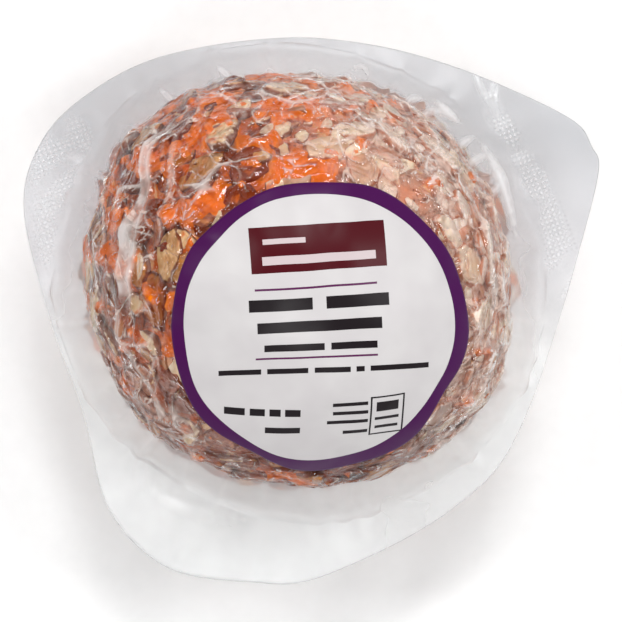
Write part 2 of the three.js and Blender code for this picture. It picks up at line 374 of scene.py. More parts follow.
# Slices as one mesh. Each is a bevelled plate: a fan, three rings and a fan, from its top down. Rings
# are the outline times a share, at a height, and the plate sags a little with the ball's curve.
def sliceMesh(name, found, seed):
    ways, places, axes, outlines, thickness = (np.array(part) for part in zip(*found))
    count, corners = outlines.shape[:2]
    shares, heights, rims = np.array(slices["profile"]).T
    flat = shares[None, :, None, None] * outlines[:, None]
    height = heights[None, :, None] * thickness[:, None, None] + np.zeros((1, 1, corners))
    height = height - (flat ** 2).sum(-1) * slices["sag"] / (2 * ball["halfWidth"])
    local = np.concatenate([flat, height[..., None]], -1)
    world = np.einsum("sij,srkj->srki", axes, local) + places[:, None, None] + ballCentre
    keep = np.ones((5, corners), bool)
    keep[0, 1:] = keep[4, 1:] = False
    points = world.reshape(count, -1, 3)[:, keep.ravel()]
    points[..., 2] = np.maximum(points[..., 2], 0.3)
    number = (np.cumsum(keep.ravel()) - 1).reshape(5, corners)
    k = np.arange(corners)
    after = np.roll(k, -1)
    quads = np.concatenate([np.stack([number[r, k], number[r + 1, k], number[r + 1, after],
                                      number[r, after]], -1) for r in (1, 2)])
    fans = np.concatenate([np.stack([np.full(corners, number[0, 0]), number[1, k], number[1, after]], -1),
                           np.stack([number[3, k], np.full(corners, number[4, 0]), number[3, after]], -1)])
    step = (np.arange(count) * points.shape[1])[:, None, None]
    faces = (quads + step).reshape(-1, 4).tolist() + (fans + step).reshape(-1, 3).tolist()
    rng = np.random.default_rng(seed)
    rim = np.repeat(rims, corners)[keep.ravel()]
    size = points.shape[1]
    across = np.concatenate([flat, np.zeros_like(flat[..., :1])], -1).reshape(count, -1, 3)[:, keep.ravel()]
    grain = across + rng.uniform(-50, 50, (count, 1, 3))  # so that no two slices share a pattern
    # On the pale side the flesh is paler and has fewer skins, partly painted sheen.
    paintedShadeBelow, pale = onSide("below", ways), paleSheenShare(ways)
    # Below the label the flesh is browner and has more skins: painted shade.
    tone = rng.beta(0.8, 0.9, count) + 0.35 * paintedShadeBelow - 0.4 * pale
    skin = rng.uniform(0, 1, count) + 0.2 * paintedShadeBelow - 0.35 * pale - 0.15 * onSide("above", ways)
    attributes = {
        "tone": np.repeat(np.clip(tone, 0, 1), size),
        "skin": np.repeat(np.clip(skin, 0, 1), size),
        "pale": np.repeat(pale, size),
        "rim": np.tile(rim, count),
        "grain": grain.reshape(-1, 3),
    }
    return meshFrom(name, points.reshape(-1, 3), faces, attributes)


# The cheese and what lies on it, as heights over a grid of directions

grid = {
    "rows": 360,
    "columns": 560,
    "footTop": 170,  # row where the upper film leaves the ball for the seal
    "footUnder": 205,  # and the lower film
}
polarRows = np.linspace(0, np.pi, grid["rows"] + 1)
azimuths = np.arange(grid["columns"]) * 2 * np.pi / grid["columns"]
ways = wayGrid(polarRows, azimuths)


squeezed = {
    "stretch": (0.62, 1.25, 1.0),  # smears run to the right and left
    "smears": (0.8, 12, 21),  # strength, wavelength and seed, here and below
    "tatters": (0.45, 4.6, 22),
    "scarcity": 0.95,
    "upperLeft": 1.2,
    "height": 1.25,
    "lumps": [(0.5, 13, 5), (0.4, 5.5, 6), (0.2, 2.2, 7)],
    "level": 0.35,
}
meanRadius = {"cheese": 40, "film": 41}  # of the ball, for patterns in millimetres
onCheese, onFilm = ways * meanRadius["cheese"], ways * meanRadius["film"]


# Where cheese has squeezed out over the almonds, from 0 to 1: where a stretched wave field and a finer
# one pass a threshold that is lower at the upper left.
def smearField():
    (long, longWave, longSeed), (short, shortWave, shortSeed) = squeezed["smears"], squeezed["tatters"]
    field = long * waveField(onFilm * np.array(squeezed["stretch"]), longWave, longSeed)
    field = field + short * waveField(onFilm, shortWave, shortSeed)
    field = field - squeezed["scarcity"] + squeezed["upperLeft"] * onSide("upperLeft", ways)
    return smoothStep(0.1, 0.8, field)


# Bare cheese with its relief: the sum of three wave fields, and the smears, flush under the label.
def cheeseSurface(smear):
    relief = sum(height * waveField(onCheese, wave, seed) for height, wave, seed in squeezed["lumps"])
    clear = smoothStep(sticker["radius"] - 3, sticker["radius"] + 3, fromLabel(ways))
    return (cheeseRadius(ways) + ball["relief"] * (relief * clear + squeezed["level"])
            + squeezed["height"] * smear * clear)


# Raises the height field to the top of every slice. A direction meets a slice's top plane at
# (place . normal + half thickness) / (direction . normal), and counts if it is inside the outline,
# whose radius is read off by angle.
def raiseSlices(height, found):
    for way, place, axes, outline, thickness in found:
        reach = np.linalg.norm(outline, axis=1).max() / 36
        polar = math.acos(max(-1.0, min(1.0, way[2])))
        low = max(0, int((polar - reach) / np.pi * grid["rows"]))
        high = min(grid["rows"] + 1, int((polar + reach) / np.pi * grid["rows"]) + 2)
        near = ways[low:high] @ way > math.cos(reach)
        rays = ways[low:high][near]
        normal = axes[:, 2]
        lengths = (place @ normal + thickness / 2) / (rays @ normal)
        local = (rays * lengths[:, None] - place) @ axes
        angles = np.arctan2(outline[:, 1], outline[:, 0])
        order = np.argsort(angles)
        radii = np.linalg.norm(outline, axis=1)[order]
        edge = np.interp(np.arctan2(local[:, 1], local[:, 0]), angles[order], radii, period=2 * np.pi)
        away = np.hypot(local[:, 0], local[:, 1])
        lengths = lengths - away ** 2 * slices["sag"] / (2 * ball["halfWidth"])
        lengths = lengths - 0.3 * smoothStep(0.82, 1, away / edge)
        part = height[low:high]
        part[near] = np.where(away < edge, np.maximum(part[near], lengths), part[near])


film = {
    "clearance": 0.12,  # over what it lies on
    "taut": 9,  # rounds in which each point takes its highest neighbour's height
    "drawn": 300,  # rounds in which it sinks again
    "pull": 0.007,
    "creases": [(1.0, 15, 0.5, 51), (0.8, 8.5, 0.35, 52)],  # strength, spacing, half width, seed
    "creaseHeight": 0.45,
    "creaseWhite": 0.9,
    "haze": 0.3,  # where air is trapped; then what the pale side adds and the side above takes off
    # The pale side's extra haze and the milky patches there are partly trapped fat, partly painted sheen.
    "sheenSideHaze": 0.7,
    "upperHaze": 0.3,
    "milkyVeil": 0.6,
    "stretch": (0.08, 0.2),  # bends where the film begins to whiten and is white
    "stretchWhite": 0.45,
    "hazyStretchWhite": 0.85,
}


# The film as a stretched skin that the vacuum draws in: each round, every point goes to the average of
# its neighbours less a small pull, but never below what it lies on.
def shrinkFilm(obstacle):
    skin = obstacle.copy()
    for _ in range(film["taut"]):
        spread = np.maximum(np.roll(skin, 1, 1), np.roll(skin, -1, 1))
        spread[1:] = np.maximum(spread[1:], skin[:-1])
        spread[:-1] = np.maximum(spread[:-1], skin[1:])
        skin = np.maximum(skin, spread)
    stepRatio = (2 * np.pi / grid["columns"] * np.sin(polarRows[1:-1]) / (np.pi / grid["rows"])) ** -2
    sideways = np.minimum(stepRatio, 400)[:, None]
    for _ in range(film["drawn"]):
        across = np.roll(skin, 1, 1) + np.roll(skin, -1, 1)
        middle = (skin[:-2] + skin[2:] + sideways * across[1:-1]) / (2 + 2 * sideways)
        skin[1:-1] = np.maximum(obstacle[1:-1], middle - film["pull"])
        skin[0] = max(skin[1].mean(), obstacle[0].max())
        skin[-1] = max(skin[-2].mean(), obstacle[-1].max())
    return skin


print("placing almonds")
largeSlices = placeSlices()
smallChips = placeChips()
smears = smearField()
coreHeight = cheeseSurface(smears)
packedHeight = coreHeight.copy()
raiseSlices(packedHeight, largeSlices)
raiseSlices(packedHeight, smallChips)
print("shrinking film")
filmHeight = shrinkFilm(packedHeight + film["clearance"])
airGap = filmHeight - packedHeight - film["clearance"]


# Film

folds = [
    # where each starts and ends, seen from above the ball's centre; half width, height and whiteness
    ((-26.5, 27), (-30.3, 13), 1.2, 0.5, 0.9),
    ((-30.5, 14), (-34, -3), 1.9, 0.6, 1.0),
    ((-24, 25), (-26, 12), 0.5, 0.35, 0.5),
    ((-37, 9), (-33, 26), 0.5, 0.4, 0.7),
    ((33, 17), (36.5, -9), 0.8, 0.4, 0.5),
    ((-36, -2), (-25, -27), 0.6, 0.4, 0.6),
    ((25, -31), (37, -12), 0.6, 0.4, 0.6),
]
pleats = {
    "count": 34,
    "height": 0.45,
    "reach": 0.5,  # how far they run up the ball, in radians
    "seed": 31,
}


# Height of the long folds and how white each point of them is: a flat strip between two sharp ridges,
# along a great circle's arc that wanders a little, fading out past its ends.
def foldShape():
    total, whiteness = np.zeros(ways.shape[:-1]), np.zeros(ways.shape[:-1])
    size = meanRadius["film"]
    wobble = 0.7 * waveField(onFilm, 16, 90) + 0.15 * waveField(onFilm, 6, 91)
    for start, end, width, height, white in folds:
        ends = [np.array([x, y, math.sqrt(max(size ** 2 - x * x - y * y, 1))]) for x, y in (start, end)]
        plane = unit(np.cross(ends[0], ends[1]))
        along = unit(np.cross(plane, unit(ends[0])))
        turn = np.arctan2(ways @ along, ways @ unit(ends[0]))
        whole = math.acos(unit(ends[0]) @ unit(ends[1]))
        inside = smoothStep(-0.12, 0.08, turn) * smoothStep(whole + 0.12, whole - 0.08, turn)
        away = np.abs(ways @ plane * size + wobble) / width
        profile = 0.6 * smoothStep(1.3, 0.8, away) + 0.7 * np.exp(-((away - 1) / 0.35) ** 2)
        total = np.maximum(total, height * inside * profile)
        strip = 0.8 * smoothStep(1.4, 0.7, away) + 0.45 * np.exp(-((away - 0.9) / 0.35) ** 2)
        whiteness = np.maximum(whiteness, white * inside * strip)
    return total, whiteness * (0.55 + 0.45 * smoothStep(-0.9, 0.5, waveField(onFilm, 4.5, 92)))


# Gathers round the seal: narrow ridges at uneven azimuths, each with its own height and width.
def pleatShape(azimuth):
    rng = np.random.default_rng(pleats["seed"])
    places = np.arange(pleats["count"]) + rng.uniform(0, 0.9, pleats["count"])
    middles = places * 2 * np.pi / pleats["count"]
    widths = rng.uniform(0.025, 0.07, pleats["count"])
    heights = rng.uniform(0.2, 1.0, pleats["count"])
    away = np.abs((azimuth[..., None] - middles + np.pi) % (2 * np.pi) - np.pi) / widths
    return (heights * np.exp(-2 * away ** 2)).max(-1)


gather = pleatShape(azimuths)
unlabelled = smoothStep(sticker["radius"] + 0.5, sticker["radius"] + 4, fromLabel(ways))
creaseLines = np.max([strength * lineField(onFilm, spacing, width, seed)
                      for strength, spacing, width, seed in film["creases"]], axis=0)
creaseLines *= smoothStep(-0.6, 0.5, waveField(onFilm, 14, 53))
longFolds, foldWhite = foldShape()


# The film's last height: its creases where it stands off the coat, the long folds, and the gathers
# towards the seal from above and below. Under the label it stays below the label.
def wrinkleFilm():
    top, under = polarRows[grid["footTop"]], polarRows[grid["footUnder"]]
    middle = np.pi / 2 + 0.03
    nearSeal = np.maximum(smoothStep(top - pleats["reach"], top, polarRows) * (polarRows < middle),
                          smoothStep(under + pleats["reach"], under, polarRows) * (polarRows > middle))
    wrinkle = film["creaseHeight"] * creaseLines * smoothStep(0.05, 0.5, airGap + 0.15) + longFolds
    wrinkle += 0.55 * pleats["height"] * gather * nearSeal[:, None]
    underLabel = cheeseRadius(ways) + sticker["rest"] - 0.3
    shaped = filmHeight + wrinkle * unlabelled
    return np.where(unlabelled < 0.5, np.minimum(shaped, underLabel), shaped)


# How milky the film is, from trapped air, and on the pale side partly from trapped fat and partly as
# painted sheen, and how white, from creases, folds and stretching: it is stretched where it bends hard
# over a slice's edge, which is where it lies above its neighbours.
def filmWhiteness():
    # Below the label the haze and whitening are cut back: painted shade.
    shadedBelow = onSide("below", ways)
    hazeSide = film["haze"] + film["sheenSideHaze"] * paleSheenShare(ways) - film["upperHaze"] * onSide("above", ways)
    hazeSide *= 1 - shadedBelow
    fatAndSheen = film["milkyVeil"] * paleSheenShare(ways) * smoothStep(-0.3, 1.0, waveField(onFilm, 6, 55))
    milky = np.maximum(hazeSide * smoothStep(0.15, 0.9, airGap), fatAndSheen)
    bend = np.zeros_like(filmHeight)
    bend[1:-1] = 4 * filmHeight[1:-1] - filmHeight[:-2] - filmHeight[2:]
    bend[1:-1] -= np.roll(filmHeight, 1, 1)[1:-1] + np.roll(filmHeight, -1, 1)[1:-1]
    patchy = 0.35 + 0.65 * smoothStep(-0.6, 0.6, waveField(onFilm, 7, 54))
    strength = film["stretchWhite"] + film["hazyStretchWhite"] * hazeSide
    stretched = smoothStep(*film["stretch"], bend) * patchy * strength
    white = np.maximum(np.maximum(film["creaseWhite"] * creaseLines, stretched), foldWhite) * unlabelled
    return milky, white * (1 - 0.6 * shadedBelow)


shaped = wrinkleFilm()
airAndSheenHaze, whitened = filmWhiteness()
filmPoints = ways * shaped[..., None] + ballCentre
filmPoints[..., 2] = np.maximum(filmPoints[..., 2], 0.02)


# The cut edge of the skirt: a closed Catmull-Rom curve through a few points, as its distance from the
# ball's axis at each azimuth.
skirtPoints = np.array([
    (0, 49), (26, 44.9), (52, 34.2), (58.8, 27.5), (59.3, 17), (45.2, -28.2), (31, -45.8), (5, -59.4),
    (-10, -60.6), (-27, -57.4), (-38.5, -45.5), (-43.6, -26), (-50, -8), (-55.4, 14), (-52.5, 27),
    (-43.5, 37), (-27, 45.4),
], float)


def cutEdge(azimuth):
    share = (np.arange(40) / 40)[:, None, None]
    before, start = np.roll(skirtPoints, 1, 0), skirtPoints
    end, after = np.roll(skirtPoints, -1, 0), np.roll(skirtPoints, -2, 0)
    slopeStart, slopeEnd = (end - before) / 2, (after - start) / 2
    curve = (2 * share ** 3 - 3 * share ** 2 + 1) * start
    curve = curve + (share ** 3 - 2 * share ** 2 + share) * slopeStart
    curve = curve + (3 * share ** 2 - 2 * share ** 3) * end + (share ** 3 - share ** 2) * slopeEnd
    curve = curve.reshape(-1, 2)
    angles = np.arctan2(curve[:, 1], curve[:, 0])
    order = np.argsort(angles)
    return np.interp(azimuth, angles[order], np.hypot(*curve[order].T), period=2 * np.pi)


bag = {
    "sealHeight": 32.5,
    "sheet": 0.3,  # both films together
    "tentWidth": 5.6,
    "almondReach": 2.85,  # with the solids' gap to the ball
    "sag": 2.4,
    "sagReach": 68,
    "ripple": 0.7,
    "tentRows": 16,
    "sheetRows": 34,
}
creases = [
    # sharp bent folds in the skirt and the tent: start, bend, end, half width, height
    ((35.0, 43.0), (36.4, 39.0), (39.0, 34.0), 0.9, 0.3),
    ((39.9, 41.0), (38.7, 38.0), (39.0, 33.0), 0.8, 0.3),
    ((37.6, 38.0), (39.6, 35.0), (40.6, 30.0), 2.0, 0.2),
    ((36.2, 28.0), (41.2, 22.0), (43.4, 9.0), 1.0, 0.5),
    ((32.8, 22.0), (35.0, 24.6), (38.4, 25.6), 0.7, 0.4),
    ((36.6, 17.0), (39.6, 17.4), (40.8, 21.0), 0.7, 0.4),
    ((31.4, 26.0), (32.6, 28.0), (35.4, 29.0), 0.7, 0.5),
    ((23.6, 32.0), (26.0, 34.6), (29.6, 34.0), 0.7, 0.4),
    ((27.4, 36.2), (29.4, 34.2), (32.4, 31.6), 0.8, 0.5),
    ((21.0, 34.0), (22.0, 37.4), (25.0, 36.6), 0.7, 0.4),
    ((10.4, 42.0), (13.6, 45.0), (13.8, 40.4), 0.5, 0.3),
    ((-28.0, 38.6), (-26.6, 37.4), (-24.6, 35.0), 0.5, 0.3),
    ((-16.4, 42.8), (-15.0, 42.0), (-13.6, 40.0), 0.5, 0.3),
    ((-30.6, -41.0), (-22.0, -46.0), (-11.0, -48.0), 1.8, 0.14),
    ((-30.2, -35.0), (-31.6, -39.0), (-31.4, -43.0), 1.4, 0.12),
]
# bands where the heated bars pressed their knurl into the seal: from, to, half width
knurls = [((-48, 27), (-46, 8), 8.5), ((38.5, 36), (42.5, 29), 2.5), ((44.5, 22), (54, 1), 5.5)]


# Reach of the ball's equator with its almonds, by azimuth.
def ballReach(azimuth):
    level = np.stack([np.cos(azimuth), np.sin(azimuth), np.zeros_like(azimuth)], -1)
    return cheeseRadius(level) + bag["almondReach"]


# Height of the skirt's middle plane: the seal's, less a sag that grows outwards, and two sine ripples
# round it.
def skirtHeight(x, y):
    out = smoothStep(ball["halfWidth"], bag["sagReach"], np.hypot(x, y))
    azimuth = np.arctan2(y, x)
    ripple = np.sin(3 * azimuth + 0.6) + 0.6 * np.sin(5 * azimuth - 1.1)
    return bag["sealHeight"] - bag["sag"] * out + bag["ripple"] * ripple * out


# Distance from each point to its nearest place on a straight line, whose share of the way along is a
# dot product held between 0 and 1.
def lineDistance(x, y, start, end):
    start, end = np.array(start, float), np.array(end, float)
    along = end - start
    share = np.clip(((x - start[0]) * along[0] + (y - start[1]) * along[1]) / (along @ along), 0, 1)
    return np.hypot(x - start[0] - share * along[0], y - start[1] - share * along[1])


# The sharp folds: the height of the highest at each point, a ridge times wider than each is. Each runs
# along a quadratic Bezier curve and tapers to both ends.
def creaseRise(x, y, wider=1.0):
    highest = np.zeros(x.shape)
    parts = 10
    share = np.linspace(0, 1, parts + 1)[:, None]
    for start, bend, end, width, rise in creases:
        curve = (1 - share) ** 2 * np.array(start) + 2 * share * (1 - share) * np.array(bend)
        curve = curve + share ** 2 * np.array(end)
        for i in range(parts):
            taper = math.sin(math.pi * (i + 0.5) / parts) ** 0.7
            away = lineDistance(x, y, curve[i], curve[i + 1])
            highest = np.maximum(highest, rise * taper * np.maximum(0, 1 - away / (wider * width * taper)))
    return highest


# The skirt's rows run from the ball over the upper tent to the cut edge and back underneath. A tent
# falls from its foot as the square of what is left of the way, with the gathers on it.
def makeSkirt():
    edge = cutEdge(azimuths)
    seal = ballReach(azimuths) + bag["tentWidth"] * (0.86 + 0.12 * np.sin(4 * azimuths + 1) + 0.14 * gather)
    seal = np.minimum(seal, edge - 1.0)
    outward = np.stack([np.cos(azimuths), np.sin(azimuths)], -1)
    topFoot, underFoot = filmPoints[grid["footTop"]], filmPoints[grid["footUnder"]]

    def tent(foot, side):
        share = np.linspace(0, 1, bag["tentRows"])[:, None]
        start = np.hypot(foot[:, 0], foot[:, 1])
        reach = start + (seal - start) * share
        end = skirtHeight(outward[:, 0] * seal, outward[:, 1] * seal) + side * bag["sheet"] / 2
        height = end + (foot[:, 2] - end) * (1 - share) ** 2
        lift = 4 * share * (1 - share)
        height = height + side * pleats["height"] * gather * lift
        x, y = reach * outward[:, 0], reach * outward[:, 1]
        height = height + creaseRise(x, y) * smoothStep(0, 0.15, share) * (side > 0)
        return np.stack([x, y, height], -1)

    def sheet(side):
        share = np.linspace(0, 1, bag["sheetRows"] + 1)[1:, None]
        reach = seal + (edge - seal) * share
        x, y = reach * outward[:, 0], reach * outward[:, 1]
        height = skirtHeight(x, y) + 0.5 * gather * (1 - share) ** 2 + creaseRise(x, y)
        height = height + 0.18 * waveField(np.stack([x, y], -1), 17, 8)
        thin = side * bag["sheet"] / 2 * smoothStep(0, 0.4, edge - reach + 0.1)
        return np.stack([x, y, height + thin], -1)

    rows = np.concatenate([tent(topFoot, 1), sheet(1), sheet(-1)[::-1], tent(underFoot, -1)[::-1]])
    x, y = rows[..., 0], rows[..., 1]
    pressed = np.zeros(x.shape)
    for start, end, width in knurls:
        away = lineDistance(x, y, start, end)
        pressed = np.maximum(pressed, smoothStep(width, width * 0.5, away))
    pressed *= smoothStep(seal - 0.5, seal + 1.5, np.hypot(x, y))
    pressed *= smoothStep(-1.3, 0.2, waveField(np.stack([x, y], -1), 9, 9))
    tentAir = smoothStep(seal + 0.3, seal - 3.5, np.hypot(x, y))
    attributes = {"knurl": pressed, "fold": creaseRise(x, y, 1.5), "loose": tentAir * (0.4 + 0.6 * gather)}
    return gridMesh("skirtFilm", rows, attributes)


# Label

# Height of the label over the bare cheese at a place on it, right and up in millimetres: level in the
# middle, gathered into uneven radial pleats towards its edge.
def labelRise(right, up):
    radius = np.hypot(right, up)
    angle = np.arctan2(up, right)
    fan = np.sin(9 * angle + 0.8) + 0.7 * np.sin(14 * angle - 1.3) + 0.5 * np.sin(23 * angle + 2.1)
    uneven = 0.2 + 0.8 * np.cos(angle + 0.15) ** 4
    edge = smoothStep(14, sticker["radius"], radius)
    bumps = waveField(np.stack([right, up], -1), 11, 14)
    raised = sticker["pleat"] * edge ** 2 * uneven * (1 + fan / 2.2) / 2
    return sticker["rest"] + raised + sticker["bump"] * np.clip(bumps, -1.5, 1.5)


# Radius of an uneven circle at each angle: its mean and a sum of waves round it.
def unevenCircle(circle, angle):
    mean, waves = circle
    return mean + sum(size * np.cos(count * angle + phase) for count, size, phase in waves)


# The label's skin: rings from its middle out over the top, round the cut edge and back underneath.
def makeLabel():
    spokes = np.arange(300) * 2 * np.pi / 300
    shares = np.concatenate([np.linspace(0, 1, 90), [1.0], np.linspace(1, 0, 24)])
    rise = np.concatenate([np.full(90, sticker["thickness"]), [sticker["thickness"] / 2], np.zeros(24)])
    radius = shares[:, None] * unevenCircle(sticker["cutEdge"], spokes)
    right, up = radius * np.cos(spokes), radius * np.sin(spokes)
    pastRing = radius - unevenCircle(sticker["ringEdge"], spokes)
    height = np.full(right.shape, ball["halfHeight"])
    clearance = labelRise(right, up) + rise[:, None]
    for _ in range(10):
        offset = right[..., None] * labelRight + up[..., None] * labelUp + height[..., None] * labelOut
        reach = cheeseRadius(unit(offset)) + clearance
        height = np.sqrt(reach ** 2 - right ** 2 - up ** 2)
    offset = right[..., None] * labelRight + up[..., None] * labelUp + height[..., None] * labelOut
    place = np.stack([right, up, np.zeros_like(right)], -1)
    printed = {"printPlace": place, "pastRing": pastRing}
    return gridMesh("labelSticker", offset + ballCentre, printed, True, True)


# Materials

marbling = {
    # sizes across, in millimetres
    "swirl": 16.1,
    "crumb": 1.43,
    "bit": 2.08,
    "crumbRelief": 0.4,
    "paint": [(0.46, "#94380A"), (0.62, "#BC5410"), (0.76, "#D66006"), (0.92, "#E26A00"), (1.0, "#F07E0A")],
    # The cheese fades to this on the pale side: partly fat, partly painted sheen.
    "fatAndSheen": "#E8BEA4",
    # noise where a bit begins and is full: brown skin, then cream almond
    "bits": [(0.62, 0.66, "#7A3014"), (0.38, 0.34, "#F2C98E")],
}


# Cheddar marbled with wine, a soft cold-pack cheese: orange with mauve-brown swirls, bits of skin and
# almond in it. The film lies on it without air between, so the shine is nearly all the film's.
def cheeseMaterial():
    material, add = newMaterial("wineMarbledCheddar")
    place = add("TexCoord").outputs["Object"]
    orange, pale = (add("Attribute", attribute_name=name).outputs["Fac"] for name in ("orange", "pale"))
    swirl = add("TexNoise", {
        "Vector": place, "Scale": lumpScale(marbling["swirl"]), "Detail": 3.0, "Distortion": 1.4})
    crumb = add("TexNoise", {"Vector": place, "Scale": lumpScale(marbling["crumb"]), "Detail": 4.0})
    marbled = add("Math", {0: swirl, 1: orange}, operation="ADD")
    crumbly = add("Math", {0: crumb, 1: 0.35, 2: marbled}, operation="MULTIPLY_ADD")
    colour = add("ValToRGB", {0: crumbly}, marbling["paint"])
    # On the pale side the cheese fades towards a pinkish white, partly painted sheen.
    faded = add("Mix", {0: pale, 6: colour, 7: marbling["fatAndSheen"]}, data_type="RGBA")
    bits = add("TexNoise", {
        "Vector": place, "Scale": lumpScale(marbling["bit"]), "Detail": 2.0, "Distortion": 0.6})
    clean = add("MapRange", {0: orange, 1: 0.2, 2: 0.6, 3: 0.6, 4: 0.1})  # smears hold fewer bits
    for begins, full, bit in marbling["bits"]:
        seen = add("MapRange", {0: bits, 1: begins, 2: full, 3: 0.0, 4: clean})
        faded = add("Mix", {0: seen, 6: faded.outputs[2], 7: bit}, data_type="RGBA")
    bump = add("Bump", {"Height": crumb, "Distance": marbling["crumbRelief"] * mm, "Strength": 0.6})
    shader = add("BsdfPrincipled", {
        "Base Color": faded.outputs[2], "Roughness": 0.42, "IOR": 1.45, "Specular IOR Level": 0.1,
        "Normal": bump, "Subsurface Weight": 0.15, "Subsurface Radius": (0.0006, 0.0003, 0.00012),
        "Subsurface Scale": 1.0})
    add("OutputMaterial", {"Surface": shader})
    return material


cutAlmond = {
    # sizes across, in millimetres
    "mottle": 3.03,
    "streaks": (2.86, 0.667, 1.0),  # along, across and through a slice
    "smear": 6.67,
    "fatAndSheenPatch": 7.69,
    "relief": 0.5,
    "flesh": [(0.15, "#FBEFD8"), (0.4, "#EEC890"), (0.62, "#CC8638"), (0.85, "#B05210"), (1.0, "#943A08")],
    "husk": [(0.3, "#862E0A"), (0.5, "#B04E14"), (0.7, "#D08038")],
    "cheese": "#EA7410",
    # Whiter patches and lighter skin lines on the pale side: partly fat and paler slices, partly painted
    # sheen.
    "fatAndSheen": "#FAE8DA",
    "rind": "#7C3010",
    "paleRind": "#C87446",
}


# Sliced almonds: cream and tan flesh with a fine grain, browner skins, a thin brown line of skin round
# each slice, and some cheese smeared over them.
def almondMaterial():
    material, add = newMaterial("slicedAlmond")
    place = add("TexCoord").outputs["Object"]
    grain = add("Attribute", attribute_name="grain").outputs["Vector"]
    tone, skin, rim, pale = (add("Attribute", attribute_name=name).outputs["Fac"]
                             for name in ("tone", "skin", "rim", "pale"))
    mottle = add("TexNoise", {
        "Vector": grain, "Scale": 1 / cutAlmond["mottle"], "Detail": 4.0, "Distortion": 0.6})
    toned = add("Math", {0: mottle, 1: 0.5, 2: tone}, operation="MULTIPLY_ADD")
    flesh = add("ValToRGB", {0: toned}, cutAlmond["flesh"])
    lengthwise = add("Mapping", {"Vector": grain, "Scale": [1 / size for size in cutAlmond["streaks"]]})
    streak = add("TexNoise", {"Vector": lengthwise, "Scale": 1.0, "Detail": 4.0, "Distortion": 0.8})
    husk = add("ValToRGB", {0: streak}, cutAlmond["husk"])
    skinny = add("MapRange", {0: skin, 1: 0.74, 2: 0.8, 3: 0.0, 4: 0.9})
    body = add("Mix", {0: skinny, 6: flesh, 7: husk}, data_type="RGBA")
    smearNoise = add("TexNoise", {
        "Vector": place, "Scale": lumpScale(cutAlmond["smear"]), "Detail": 3.0, "Distortion": 0.8})
    smear = add("MapRange", {0: smearNoise, 1: 0.59, 2: 0.68, 3: 0.0, 4: 0.85})
    smeared = add("Mix", {0: smear, 6: body.outputs[2], 7: cutAlmond["cheese"]}, data_type="RGBA")
    # On the pale side the slices whiten in patches and their skin lines lighten, partly as painted sheen.
    fatAndSheenNoise = add("TexNoise", {
        "Vector": place, "Scale": lumpScale(cutAlmond["fatAndSheenPatch"]), "Detail": 2.0, "Distortion": 0.5})
    fatAndSheen = add("MapRange", {0: fatAndSheenNoise, 1: 0.35, 2: 0.55, 3: 0.45, 4: 1.0})
    fatAndSheenOnPale = add("Math", {0: fatAndSheen, 1: pale}, operation="MULTIPLY")
    whiter = add("Mix", {0: fatAndSheenOnPale, 6: smeared.outputs[2], 7: cutAlmond["fatAndSheen"]}, data_type="RGBA")
    ragged = add("Math", {0: mottle, 1: 0.5, 2: rim}, operation="MULTIPLY_ADD")
    edge = add("MapRange", {0: ragged, 1: 1.1, 2: 1.18, 3: 0.0, 4: 0.9})
    rind = add("Mix", {0: pale, 6: cutAlmond["rind"], 7: cutAlmond["paleRind"]}, data_type="RGBA")
    outlined = add("Mix", {0: edge, 6: whiter.outputs[2], 7: rind.outputs[2]}, data_type="RGBA")
    bump = add("Bump", {"Height": mottle, "Distance": cutAlmond["relief"] * mm, "Strength": 0.5})
    shader = add("BsdfPrincipled", {
        "Base Color": outlined.outputs[2], "Roughness": 0.45, "IOR": 1.47, "Specular IOR Level": 0.1,
        "Normal": bump, "Subsurface Weight": 0.15, "Subsurface Radius": (0.0006, 0.0004, 0.0002),
        "Subsurface Scale": 1.0})
    add("OutputMaterial", {"Surface": shader})
    return material


shrunkFilm = {
    # sizes across, in millimetres
    "wisp": 3.33,
    "crinkle": 4.76,
    "crinkleRelief": 0.8,
    "tint": "#FCFBFB",
    "milkyVeil": "#FBE2D2",
    # Colour of the whitened creases and of the painted glint lines.
    "white": "#FAF6F3",
    "cloudiest": 0.75,
    "backlit": 0.3,
    "roughness": 0.07,
}


